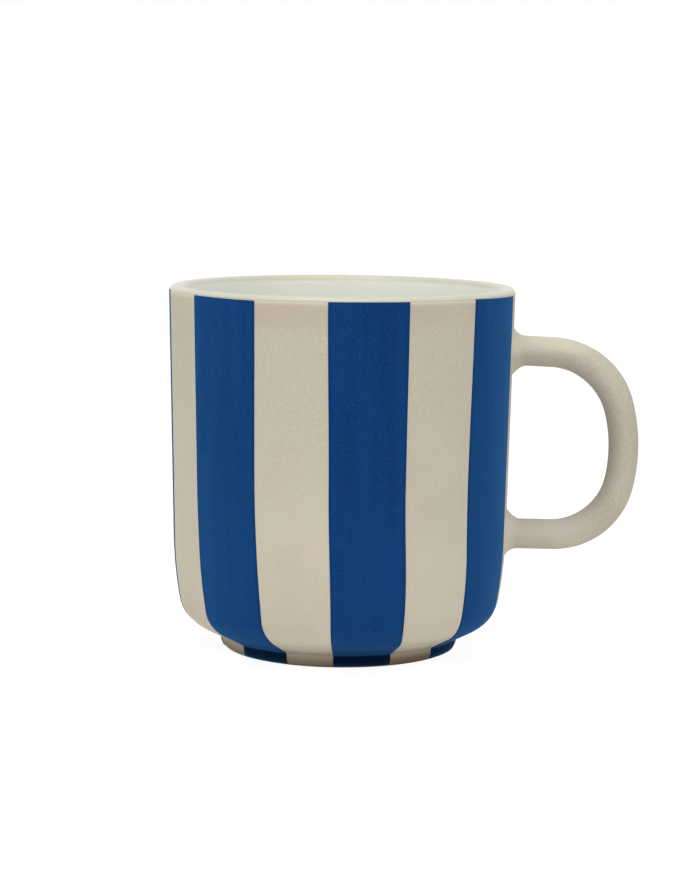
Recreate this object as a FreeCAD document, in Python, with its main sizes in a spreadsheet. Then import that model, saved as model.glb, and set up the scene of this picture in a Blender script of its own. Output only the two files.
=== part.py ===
"""Stoneware mug with a loop handle, painted stripes and a white glaze lining.

The mug is drawn about the Z axis in millimetres. Its foot stands on the plane Z = 0 and the
handle points along +X. The cup is turned from one section; the handle is a bar of oval section
bent along a line of tangent arcs, cut to the cup's wall and bedded there in two rings of slip.
The stripes and the lining are thin coats that follow the same section line as the clay.
"""
import FreeCAD, Part
import math
import os
import Sketcher
from FreeCAD import Placement, Rotation, Vector

SHEET_NAME = "Sizes"
Z_AXIS = Vector(0, 0, 1)
# the Sketcher's own numbers for a piece's two ends and its centre, and for the sketch's origin
START, END, CENTRE = 1, 2, 3
ORIGIN_POINT = (-1, 1)

# name, value in millimetres or degrees, what it measures
SIZES = [
    ("rim_radius", 43.0, "outside radius of the clay wall where the lip begins"),
    ("body_height", 90.8, "height of the clay lip above the table"),
    ("wall_draft", 1.23, "lean of the wall, wider at the rim, in degrees"),
    ("wall_thickness", 3.8, "thickness of the clay wall"),
    ("lip_outer_round", 1.3, "rounding of the lip's outer edge"),
    ("lip_inner_round", 1.8, "rounding of the lip's inner edge"),
    ("shoulder_height", 28.55, "height where the wall starts to curve in"),
    ("shoulder_radius", 104.0, "radius of the slow curve below the wall"),
    ("heel_radius", 9.2, "radius of the tight curve at the heel"),
    ("underside_slope", 27.2, "rise of the underside from foot to heel, in degrees"),
    ("foot_radius", 29.7, "outside radius of the foot ring"),
    ("foot_height", 2.85, "height of the foot ring's upright side"),
    ("foot_width", 4.6, "width of the foot ring, outside to inside"),
    ("foot_outer_round", 2.4, "rounding of the foot ring's outer edge"),
    ("foot_inner_round", 0.9, "rounding of the foot ring's inner edge"),
    ("notch_round", 0.8, "hollow curve between foot ring and underside"),
    ("recess_depth", 3.0, "depth of the hollow inside the foot ring"),
    ("recess_round", 1.2, "curve between that hollow and the foot ring"),
    ("floor_height", 8.6, "height of the clay floor inside the cup"),
    ("floor_round", 13.0, "curve between the floor and the inside wall"),
    ("upper_arm_drop", 15.0, "the lip's top down to the middle of the handle's upper arm"),
    ("upper_arm_droop", 2.0, "fall of the upper arm away from the wall, in degrees"),
    ("lower_arm_height", 29.55, "height of the middle of the handle's lower arm"),
    ("handle_reach", 70.6, "cup axis to the middle of the handle's back"),
    ("handle_sag", 1.05, "how far below midway between the arms the back stands out most"),
    ("upper_bend_radius", 18.0, "radius of the upper bend, to the bar's middle"),
    ("lower_bend_radius", 17.0, "radius of the lower bend, to the bar's middle"),
    ("handle_back_radius", 39.3, "radius of the bowed back, to the bar's middle"),
    ("handle_width", 9.6, "width of the bar, across the handle's plane"),
    ("handle_thickness", 7.45, "thickness of the bar, in the handle's plane"),
    ("slip_flare", 1.6, "how far the slip spreads round the bar at the wall"),
    ("slip_reach", 2.2, "how far the slip runs out along the bar"),
    ("slip_edge", 0.2, "thickness of the slip's thin end on the bar"),
    ("stripe_count", 7, "number of painted stripes, gaps as wide as stripes"),
    ("stripe_coat", 0.2, "thickness of the painted coat"),
    ("stripe_top_gap", 0.76, "bare clay between a stripe and the lip's top"),
    ("stripe_foot_gap", 0.6, "bare clay between a stripe and the table"),
    ("lining_coat", 0.28, "thickness of the glaze lining"),
    ("lining_overlap", 0.66, "how far the lining comes down outside the lip"),
]

doc = FreeCAD.newDocument("Mug")


def make_sheet():
    """Put every size in the sheet, one row each: name, value, meaning."""
    sheet = doc.addObject("Spreadsheet::Sheet", SHEET_NAME)
    for row, (name, value, meaning) in enumerate(SIZES, start=1):
        sheet.set(f"A{row}", name)
        sheet.set(f"B{row}", str(value))
        sheet.set(f"C{row}", meaning)
        sheet.setAlias(f"B{row}", name)
    doc.recompute()
    return sheet


sheet = make_sheet()


def size(name):
    """Read one size back from the sheet."""
    return float(getattr(sheet, name))


def cell(name):
    """Name one size as an expression does."""
    return f"{SHEET_NAME}.{name}"


def radians(name):
    """Read one angle from the sheet, in radians."""
    return math.radians(size(name))


class Outline:
    """A chain of lines and arcs in a sketch, each joined to the end of the one before."""

    def __init__(self, sketch, start):
        self.sketch = sketch
        self.point = start
        self.tail = None

    def _join(self, index, head, tail, smooth):
        """Tie a new piece's head to the chain's tail, tangent to it where smooth."""
        if self.tail is not None:
            kind = "Tangent" if smooth else "Coincident"
            self.sketch.addConstraint(Sketcher.Constraint(kind, *self.tail, index, head))
        self.tail = (index, tail)
        return index

    def line(self, end, smooth=True):
        """Draw a straight piece to the end point."""
        index = self.sketch.addGeometry(Part.LineSegment(self.point, end))
        self.point = end
        return self._join(index, START, END, smooth)

    def arc(self, centre, end, left, radius_name, smooth=True):
        """Draw an arc to the end point, turning left or right, with a radius from the sheet."""
        first, last = (self.point, end) if left else (end, self.point)
        angles = [math.atan2(p.y - centre.y, p.x - centre.x) for p in (first, last)]
        if angles[1] <= angles[0]:
            angles[1] += 2 * math.pi
        circle = Part.Circle(centre, Z_AXIS, (end - centre).Length)
        index = self.sketch.addGeometry(Part.ArcOfCircle(circle, *angles))
        self.point = end
        head, tail = (START, END) if left else (END, START)
        self._join(index, head, tail, smooth)
        self.bind("Radius", (index,), (end - centre).Length, cell(radius_name))
        return index

    def close(self, index, head):
        """Tie the chain's tail to the head of its first piece."""
        self.sketch.addConstraint(Sketcher.Constraint("Coincident", *self.tail, index, head))

    def fix(self, kind, *where):
        """Add a constraint that has no size."""
        self.sketch.addConstraint(Sketcher.Constraint(kind, *where))

    def bind(self, kind, where, value, expression):
        """Add a constraint whose size follows an expression."""
        number = self.sketch.addConstraint(Sketcher.Constraint(kind, *where, value))
        self.sketch.setExpression(f"Constraints[{number}]", expression)

    def place(self, index, end, x=None, y=None):
        """Hold an end or centre at x and y from the axes, each an (amount, expression) pair."""
        for kind, pair in (("DistanceX", x), ("DistanceY", y)):
            if pair is not None:
                self.bind(kind, (*ORIGIN_POINT, index, end), *pair)


def value_of(name):
    """Give one size as the (amount, expression) pair that Outline.place takes."""
    return size(name), cell(name)


def new_sketch(body, name, role="XZ_Plane"):
    """Make a sketch on one of the body's own origin planes."""
    plane = next(f for f in body.Origin.OriginFeatures if f.Role == role)
    sketch = body.newObject("Sketcher::SketchObject", name)
    sketch.AttachmentSupport = [(plane, "")]
    sketch.MapMode = "FlatFace"
    return sketch


def free_sketch(name):
    """Make a sketch outside any body, standing in the XZ plane."""
    sketch = doc.addObject("Sketcher::SketchObject", name)
    sketch.Placement = Placement(Vector(0, 0, 0), Rotation(Vector(1, 0, 0), 90))
    return sketch


def turned(amount, angle):
    """A vector of the given length at an angle in radians from the sketch's first axis."""
    return Vector(amount * math.cos(angle), amount * math.sin(angle), 0)


# ---------------------------------------------------------------- the cup's section


def wall_top():
    """The point where the straight outside wall ends and the lip begins."""
    drop = size("lip_outer_round") * (1 + math.sin(radians("wall_draft")))
    return Vector(size("rim_radius"), size("body_height") - drop, 0)


def wall_top_height():
    """The height of that point, as an amount and an expression."""
    lean = f"sin({cell('wall_draft')} * 1 deg)"
    return wall_top().y, f"{cell('body_height')} - {cell('lip_outer_round')} * (1 + {lean})"


def heel_centres():
    """Centres of the shoulder and heel curves, and the heel's touching point underneath."""
    draft, slope = radians("wall_draft"), radians("underside_slope")
    top, notch = wall_top(), size("notch_round")
    fall = top.y - size("shoulder_height")
    shoulder = top - Vector(fall * math.tan(draft), fall, 0) - turned(size("shoulder_radius"), -draft)
    corner = Vector(size("foot_radius") + notch, size("foot_height"), 0)
    inward = turned(1, slope + math.pi / 2)
    along = turned(1, slope)
    start = corner + inward * (notch + size("heel_radius"))
    span = size("shoulder_radius") - size("heel_radius")
    gap = start - shoulder
    run = -gap.dot(along) + math.sqrt(gap.dot(along) ** 2 - gap.dot(gap) + span**2)
    heel = start + along * run
    return shoulder, heel, heel - inward * size("heel_radius")


def draw_outside(outline):
    """Draw the outside from the foot's outer edge up to the lip."""
    draft, slope = radians("wall_draft"), radians("underside_slope")
    foot, rounding = size("foot_radius"), size("foot_outer_round")
    edge = outline.arc(Vector(foot - rounding, rounding, 0), Vector(foot, rounding, 0), True,
                       "foot_outer_round")
    outline.place(edge, CENTRE, y=value_of("foot_outer_round"))
    side = outline.line(Vector(foot, size("foot_height"), 0))
    outline.fix("Vertical", side)
    outline.place(side, END, x=value_of("foot_radius"), y=value_of("foot_height"))
    notch = size("notch_round")
    hollow = Vector(foot + notch, size("foot_height"), 0)
    outline.arc(hollow, hollow + turned(notch, slope + math.pi / 2), False, "notch_round")
    shoulder, heel, underside = heel_centres()
    slant = outline.line(underside)
    outline.bind("Angle", (slant,), slope, cell("underside_slope"))
    meeting = heel + turned(size("heel_radius"), math.atan2(heel.y - shoulder.y, heel.x - shoulder.x))
    outline.arc(heel, meeting, True, "heel_radius")
    bend = outline.arc(shoulder, shoulder + turned(size("shoulder_radius"), -draft), True,
                       "shoulder_radius")
    outline.place(bend, END, y=value_of("shoulder_height"))
    wall = outline.line(wall_top())
    outline.bind("Angle", (wall,), math.pi / 2 - draft, f"90 - {cell('wall_draft')}")
    outline.place(wall, END, x=value_of("rim_radius"), y=wall_top_height())
    return wall


def draw_lip_edge(outline):
    """Draw the lip's rounded outer edge, up to where it lies level."""
    rounding = size("lip_outer_round")
    centre = outline.point - turned(rounding, -radians("wall_draft"))
    return outline.arc(centre, centre + Vector(0, rounding, 0), True, "lip_outer_round")


def draw_lip(outline):
    """Draw the lip's rounded outer edge and its flat top, as far as the inner edge."""
    draw_lip_edge(outline)
    draft, inner = radians("wall_draft"), size("lip_inner_round")
    core = wall_top() - turned(size("wall_thickness") - inner, -draft)
    rise = size("body_height") - inner - core.y
    top = outline.line(Vector(core.x + rise * math.tan(draft), size("body_height"), 0))
    outline.fix("Horizontal", top)


def draw_inside(outline, wall, wall_end):
    """Draw the inside from the lip's inner edge down the wall and along the floor to the axis."""
    draft, inner = radians("wall_draft"), size("lip_inner_round")
    centre = outline.point - Vector(0, inner, 0)
    outline.arc(centre, centre - turned(inner, -draft), True, "lip_inner_round")
    floor, corner = size("floor_height"), size("floor_round")
    fall = outline.point.y - floor - corner * (1 - math.sin(draft))
    wall_foot = outline.point - Vector(fall * math.tan(draft), fall, 0)
    inside = outline.line(wall_foot)
    outline.fix("Parallel", inside, wall)
    outline.bind("Distance", (wall, wall_end, inside), size("wall_thickness"), cell("wall_thickness"))
    centre = wall_foot - turned(corner, -draft)
    outline.arc(centre, centre - Vector(0, corner, 0), False, "floor_round")
    level = outline.line(Vector(0, floor, 0))
    outline.fix("Horizontal", level)
    outline.fix("Vertical", *ORIGIN_POINT, level, END)
    outline.place(level, END, y=value_of("floor_height"))


def draw_underneath(outline):
    """Draw the hollow under the cup and the foot ring's inner side and resting face."""
    depth, bend = size("recess_depth"), size("recess_round")
    inner = size("foot_radius") - size("foot_width")
    ceiling = outline.line(Vector(inner - bend, depth, 0))
    outline.fix("Horizontal", ceiling)
    outline.fix("Vertical", *ORIGIN_POINT, ceiling, START)
    outline.place(ceiling, START, y=value_of("recess_depth"))
    outline.arc(Vector(inner - bend, depth - bend, 0), Vector(inner, depth - bend, 0), False,
                "recess_round")
    rounding = size("foot_inner_round")
    side = outline.line(Vector(inner, rounding, 0))
    outline.fix("Vertical", side)
    inset = f"{cell('foot_radius')} - {cell('foot_width')}"
    outline.place(side, END, x=(inner, inset))
    outline.arc(Vector(inner + rounding, rounding, 0), Vector(inner + rounding, 0, 0), True,
                "foot_inner_round")
    face = outline.line(Vector(size("foot_radius") - size("foot_outer_round"), 0, 0))
    outline.fix("Horizontal", face)
    return ceiling


def revolve(body, sketch):
    """Turn a sketch once round the body's upright axis."""
    feature = body.newObject("PartDesign::Revolution", f"{sketch.Name}_turned")
    feature.Profile = sketch
    feature.ReferenceAxis = (sketch, ["V_Axis"])
    feature.Angle = 360
    body.Tip = feature
    return feature


def make_cup_body():
    """The thrown cup: wall, lip, floor, heel and foot ring in one section, turned once."""
    body = doc.addObject("PartDesign::Body", "cup_body")
    sketch = new_sketch(body, "cup_section")
    outline = Outline(sketch, Vector(0, size("recess_depth"), 0))
    ceiling = draw_underneath(outline)
    wall = draw_outside(outline)
    draw_lip(outline)
    draw_inside(outline, wall, END)
    outline.line(Vector(0, size("recess_depth"), 0), smooth=False)
    outline.close(ceiling, START)
    revolve(body, sketch)
    return body


def make_cup_form():
    """The cup's outside as a filled form, which cuts whatever is stuck on the wall."""
    body = doc.addObject("PartDesign::Body", "cup_form")
    sketch = new_sketch(body, "form_section")
    edge = size("foot_radius") - size("foot_outer_round")
    outline = Outline(sketch, Vector(0, 0, 0))
    base = outline.line(Vector(edge, 0, 0))
    outline.fix("Horizontal", base)
    outline.fix("Vertical", *ORIGIN_POINT, base, START)
    draw_outside(outline)
    top = outline.line(Vector(0, outline.point.y, 0), smooth=False)
    outline.fix("Horizontal", top)
    outline.fix("Vertical", *ORIGIN_POINT, top, END)
    outline.line(Vector(0, 0, 0), smooth=False)
    outline.close(base, START)
    revolve(body, sketch)
    return body


# ---------------------------------------------------------------- the handle


def arm_heights():
    """Heights of the upper and lower arms' middles, each as an amount and an expression."""
    amount = size("body_height") - size("upper_arm_drop")
    return (amount, f"({cell('body_height')} - {cell('upper_arm_drop')})"), value_of("lower_arm_height")


def bar_root():
    """Where both ends of the bar's line lie, inside the wall, as an amount and an expression."""
    amount = size("rim_radius") - size("wall_thickness")
    return amount, f"{cell('rim_radius')} - {cell('wall_thickness')}"


def bend_centre(root, angle, side, bend, centre, back):
    """Centre of the bend between an arm and the bowed back.

    The arm leaves its root at an angle; side is 1 where the bend lies above it, -1 below.
    """
    along = turned(1, angle)
    gap = root + turned(side * bend, angle + math.pi / 2) - centre
    lead = gap.dot(along)
    run = math.sqrt(lead**2 - gap.dot(gap) + (back - bend) ** 2) - lead
    return centre + gap + along * run


def draw_handle_line(outline):
    """Draw the bar's middle line: upper arm, bend, bowed back, bend, lower arm."""
    droop, back = radians("upper_arm_droop"), size("handle_back_radius")
    upper_bend, lower_bend = size("upper_bend_radius"), size("lower_bend_radius")
    high, low = arm_heights()
    root_x = bar_root()[0]
    middle = (high[0] + low[0]) / 2 - size("handle_sag")
    centre = Vector(size("handle_reach") - back, middle, 0)
    upper = bend_centre(outline.point, -droop, -1, upper_bend, centre, back)
    lower = bend_centre(Vector(root_x, low[0], 0), 0, 1, lower_bend, centre, back)
    arm = outline.line(upper + turned(upper_bend, math.pi / 2 - droop))
    outline.bind("Angle", (arm,), -droop, f"-{cell('upper_arm_droop')}")
    outline.place(arm, START, x=bar_root(), y=high)
    outward = math.atan2(upper.y - centre.y, upper.x - centre.x)
    outline.arc(upper, upper + turned(upper_bend, outward), False, "upper_bend_radius")
    outward = math.atan2(lower.y - centre.y, lower.x - centre.x)
    bow = outline.arc(centre, lower + turned(lower_bend, outward), False, "handle_back_radius")
    outline.place(bow, CENTRE,
                  x=(centre.x, f"{cell('handle_reach')} - {cell('handle_back_radius')}"),
                  y=(middle, f"({high[1]} + {low[1]}) / 2 - {cell('handle_sag')}"))
    outline.arc(lower, lower - Vector(0, lower_bend, 0), False, "lower_bend_radius")
    low_arm = outline.line(Vector(root_x, low[0], 0))
    outline.fix("Horizontal", low_arm)
    outline.place(low_arm, END, x=bar_root(), y=low)


def draw_oval(sketch, spread, spread_expression):
    """Draw the bar's oval section about the sketch's origin, wider all round by the spread."""
    width = size("handle_width") / 2 + spread
    thickness = size("handle_thickness") / 2 + spread
    oval = sketch.addGeometry(Part.Ellipse(Vector(0, 0, 0), width, thickness))
    outline = Outline(sketch, Vector(0, 0, 0))
    outline.fix("Coincident", oval, CENTRE, *ORIGIN_POINT)
    sketch.exposeInternalGeometry(oval)
    long_axis, short_axis = oval + 1, oval + 2
    outline.fix("Horizontal", long_axis)
    wide = f"{cell('handle_width')} + 2 * ({spread_expression})"
    thick = f"{cell('handle_thickness')} + 2 * ({spread_expression})"
    outline.bind("Distance", (long_axis,), 2 * width, wide)
    outline.bind("Distance", (short_axis,), 2 * thickness, thick)


def oval_sketch(body, name, distance, height, spread=(0.0, "0")):
    """Make an oval section across an arm, at a distance from the cup's axis and at a height.

    distance, height and spread are each an amount and an expression.
    """
    sketch = new_sketch(body, name, "YZ_Plane")
    sketch.AttachmentOffset = Placement(Vector(0, height[0], distance[0]), Rotation())
    sketch.setExpression("AttachmentOffset.Base.y", height[1])
    sketch.setExpression("AttachmentOffset.Base.z", distance[1])
    draw_oval(sketch, *spread)
    return sketch


def make_handle_bar():
    """The bent bar, with both ends left long inside the wall."""
    body = doc.addObject("PartDesign::Body", "handle_bar")
    path = new_sketch(body, "handle_line")
    height = arm_heights()[0]
    draw_handle_line(Outline(path, Vector(bar_root()[0], height[0], 0)))
    section = oval_sketch(body, "handle_oval", bar_root(), height)
    pipe = body.newObject("PartDesign::AdditivePipe", "handle_sweep")
    pipe.Profile = section
    pipe.Spine = (path, [])
    body.Tip = pipe
    return body


def cut(name, base, tool):
    """Cut one object by another and keep the result under a name of its own."""
    result = doc.addObject("Part::Cut", name)
    result.Base = base
    result.Tool = tool
    return result


def wall_radius_at(height):
    """The outside wall's radius at a height; both are an amount and an expression."""
    amount = wall_top().x - (wall_top().y - height[0]) * math.tan(radians("wall_draft"))
    fall = f"({wall_top_height()[1]} - {height[1]})"
    return amount, f"{cell('rim_radius')} - {fall} * tan({cell('wall_draft')} * 1 deg)"


def make_slip_cone(name, height):
    """The flared cone of slip round the arm at a height, before bar and wall are cut out of it."""
    body = doc.addObject("PartDesign::Body", name)
    wall, wall_expression = wall_radius_at(height)
    # distance out from the wall in reaches, and spread round the bar in flares: a hollow curve
    steps = [(-0.8, 1.9), (0.0, 1.0), (0.35, 0.4), (1.0, 0.0)]
    sections = []
    for number, (out, share) in enumerate(steps, start=1):
        distance = (wall + out * size("slip_reach"),
                    f"{wall_expression} + {out} * {cell('slip_reach')}")
        spread = (size("slip_edge") + share * size("slip_flare"),
                  f"{cell('slip_edge')} + {share} * {cell('slip_flare')}")
        sections.append(oval_sketch(body, f"{name}_oval_{number}", distance, height, spread))
    loft = body.newObject("PartDesign::AdditiveLoft", f"{name}_loft")
    loft.Profile = sections[0]
    loft.Sections = sections[1:]
    body.Tip = loft
    return body


def make_slip(name, height, bar, form):
    """One ring of slip: a flared cone less the wall behind it and the bar through it."""
    cone = make_slip_cone(f"{name}_cone", height)
    return cut(name, cut(f"{name}_on_wall", cone, form), bar)


# ---------------------------------------------------------------- the coats


def coat_section(name, path, thickness_name):
    """Thicken an open path into the face of a coat, on the side away from the clay."""
    coat = doc.addObject("Part::Offset2D", name)
    coat.Source = path
    coat.Mode = "Skin"
    coat.Join = "Intersection"
    coat.Fill = True
    coat.Value = -size(thickness_name)
    coat.setExpression("Value", f"-{cell(thickness_name)}")
    return coat


def window(name, inside, low, high):
    """A box across the section plane, from a radius outwards and between two heights."""
    box = doc.addObject("Part::Box", name)
    box.setExpression("Length", f"{cell('rim_radius')} * 2")
    box.setExpression("Width", cell("rim_radius"))
    box.setExpression("Height", f"{high} - {low}")
    box.setExpression("Placement.Base.x", inside)
    box.setExpression("Placement.Base.y", f"-{cell('rim_radius')} / 2")
    box.setExpression("Placement.Base.z", low)
    return box


def make_stripe_section():
    """The section that every stripe is turned from, between its top and its bottom edge."""
    path = free_sketch("outside_line")
    edge = size("foot_radius") - size("foot_outer_round")
    outline = Outline(path, Vector(edge, 0, 0))
    draw_outside(outline)
    lip_arc = draw_lip_edge(outline)
    foot_arc = 0
    outline.fix("Vertical", foot_arc, START, foot_arc, CENTRE)
    outline.fix("Vertical", lip_arc, END, lip_arc, CENTRE)
    band = doc.addObject("Part::Common", "stripe_section")
    band.Base = coat_section("stripe_coat_section", path, "stripe_coat")
    band.Tool = window("stripe_window", "0", cell("stripe_foot_gap"),
                       f"{cell('body_height')} - {cell('stripe_top_gap')}")
    return band


def make_stripe(number, section):
    """One painted stripe; the first lies opposite the handle."""
    stripe = doc.addObject("Part::Revolution", f"blue_stripe_{number}")
    stripe.Source = section
    stripe.Axis = Z_AXIS
    stripe.Symmetric = True
    stripe.Solid = True
    stripe.setExpression("Angle", f"180 / {cell('stripe_count')}")
    stripe.Placement = Placement(Vector(0, 0, 0), Rotation(Z_AXIS, 180))
    step = f"360 / {cell('stripe_count')} * {number - 1}"
    stripe.setExpression("Placement.Rotation.Angle", f"180 + {step}")
    return stripe


def make_lining():
    """The white glaze that lines the cup, covers the lip and ends just outside it."""
    path = free_sketch("lining_line")
    draft = radians("wall_draft")
    top = wall_top()
    low_y = size("body_height") - size("lining_overlap") - size("lip_outer_round")
    outline = Outline(path, top - Vector((top.y - low_y) * math.tan(draft), top.y - low_y, 0))
    wall = outline.line(top)
    outline.bind("Angle", (wall,), math.pi / 2 - draft, f"90 - {cell('wall_draft')}")
    outline.place(wall, END, x=value_of("rim_radius"), y=wall_top_height())
    edge = f"{cell('body_height')} - {cell('lining_overlap')}"
    outline.place(wall, START, y=(low_y, f"{edge} - {cell('lip_outer_round')}"))
    draw_lip(outline)
    draw_inside(outline, wall, END)
    coat = coat_section("lining_coat_section", path, "lining_coat")
    within_wall = f"{cell('rim_radius')} - {cell('wall_thickness')} / 2"
    lining = doc.addObject("Part::Revolution", "liner_glaze")
    lining.Source = cut("lining_section", coat, window("lining_window", within_wall, "0", edge))
    lining.Axis = Z_AXIS
    lining.Angle = 360
    lining.Solid = True
    return lining


# ---------------------------------------------------------------- the mug


def make_mug():
    """Build every piece and return those that are handed on."""
    form = make_cup_form()
    bar = make_handle_bar()
    pieces = [make_cup_body(), cut("handle", bar, form)]
    for name, height in zip(("handle_slip_upper", "handle_slip_lower"), arm_heights()):
        pieces.append(make_slip(name, height, bar, form))
    pieces.append(make_lining())
    section = make_stripe_section()
    for number in range(1, round(size("stripe_count")) + 1):
        pieces.append(make_stripe(number, section))
    return pieces


def check(pieces):
    """Stop if any object failed to build or any piece isn't one valid solid."""
    for item in doc.Objects:
        if "Invalid" in item.State or "Error" in item.State:
            raise RuntimeError(f"{item.Label} failed: {item.State}")
    for piece in pieces:
        shape = piece.Shape
        if shape.isNull() or not shape.isValid() or len(shape.Solids) != 1:
            raise RuntimeError(f"{piece.Label} is not one valid solid")


def write(pieces):
    """Write each piece to a STEP file named after its label."""
    os.makedirs("parts", exist_ok=True)
    for piece in pieces:
        piece.Shape.exportStep(os.path.join("parts", f"{piece.Label}.step"))
        print(f"{piece.Label}: {piece.Shape.Volume / 1000:.2f} cm3")


mug = make_mug()
doc.recompute()
check(mug)
write(mug)
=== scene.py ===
# %% [markdown]
# # A striped stoneware mug
# A mug like this is a turned cup with a bent bar stuck on its side. The cup and the bar are bare, matt
# stoneware, the inside is glazed, and seven blue stripes of coloured slip run from lip to foot.
# The solid pieces come packed from a CAD model. This lesson dresses each of them: it makes a finer
# piece of the same size in the same place, and gives it a finish that is made of shader nodes alone.

# %% Load the packed model
import math
import random

import bmesh
import bpy
from mathutils import Matrix, Vector


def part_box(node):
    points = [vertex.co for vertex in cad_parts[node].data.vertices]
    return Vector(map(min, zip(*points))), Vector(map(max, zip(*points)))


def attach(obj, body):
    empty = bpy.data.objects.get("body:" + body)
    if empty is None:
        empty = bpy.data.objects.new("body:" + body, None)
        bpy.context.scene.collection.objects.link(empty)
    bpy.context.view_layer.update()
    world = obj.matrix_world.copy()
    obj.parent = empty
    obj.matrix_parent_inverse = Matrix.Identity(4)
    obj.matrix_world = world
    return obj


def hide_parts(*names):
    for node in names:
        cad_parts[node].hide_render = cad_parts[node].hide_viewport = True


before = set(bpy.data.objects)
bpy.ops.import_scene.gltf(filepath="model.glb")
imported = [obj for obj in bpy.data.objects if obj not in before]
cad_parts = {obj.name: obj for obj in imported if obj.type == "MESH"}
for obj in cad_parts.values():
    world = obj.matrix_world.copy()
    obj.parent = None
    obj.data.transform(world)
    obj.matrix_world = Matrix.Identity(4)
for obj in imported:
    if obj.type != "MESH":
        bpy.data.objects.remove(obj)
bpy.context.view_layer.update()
print("solid pieces:", ", ".join(sorted(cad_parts)))

# %% [markdown]
# ## Sizes
# All lengths are in metres and all angles in radians, but for what the stripes stray, which is easier
# to read in millimetres. The overall sizes are read from the packed model, so that the dressed mug
# can't drift from it. The others are the mug's own roundings and thicknesses.

# %% Sizes of the cup
_, cup_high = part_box("cup_body")
_, lining_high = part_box("liner_glaze")
stripe_low, stripe_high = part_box("blue_stripe_1")
rim_radius = cup_high.x
lip_height = cup_high.z
lining_coat = lining_high.z - lip_height
wall_draft = math.radians(1.23)
wall_thickness = 0.0038
lip_outer_round = 0.0013
lip_inner_round = 0.0018
shoulder_height = 0.02855
shoulder_radius = 0.104
heel_radius = 0.0092
underside_slope = math.radians(27.2)
foot_radius = 0.0297
foot_height = 0.00285
foot_width = 0.0046
foot_outer_round = 0.0024
foot_inner_round = 0.0009
notch_round = 0.0008
recess_depth = 0.003
recess_round = 0.0012
floor_height = 0.0086
floor_round = 0.013
print(f"cup {2 * rim_radius:.4f} m wide and {lip_height:.4f} m high, lined {lining_coat:.5f} m thick")

# %% [markdown]
# ## The camera
# The camera stands about an arm's length in front of the mug, a little above it and a few degrees to
# the right, with a long lens. It is aimed at a point just beside the mug's axis, and leans slightly.

# %% Put up the camera
camera_distance = 0.6668
camera_height = 0.1365
camera_turn = math.radians(3.77)
camera_lean = math.radians(0.6405)
camera_lens = 107.74
aim = Vector((0.0023, 0.0, 0.05044))

bpy.ops.object.camera_add()
camera = bpy.context.object
camera.name = "camera"
spot = Vector((math.sin(camera_turn), -math.cos(camera_turn), 0)) * camera_distance
spot.z = camera_height
level_view = (aim - spot).to_track_quat("-Z", "Y").to_matrix().to_4x4()
camera.matrix_world = Matrix.Translation(spot) @ level_view @ Matrix.Rotation(camera_lean, 4, "Z")
camera.data.lens = camera_lens
bpy.context.scene.camera = camera
bpy.context.scene.view_settings.view_transform = "Standard"
print("camera at", [round(value, 4) for value in spot])

# %% [markdown]
# ## The finishes' own bench
# Every finish is one Principled shader with noise patterns fed into its colour, roughness and relief.
# What is the same all over, such as its sheen, is set on the shader itself.
# A small class keeps the making short: it adds nodes, joins them, and reads a pattern at the piece's
# own place in space, so that the pattern sits still on the clay from every side.

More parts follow.
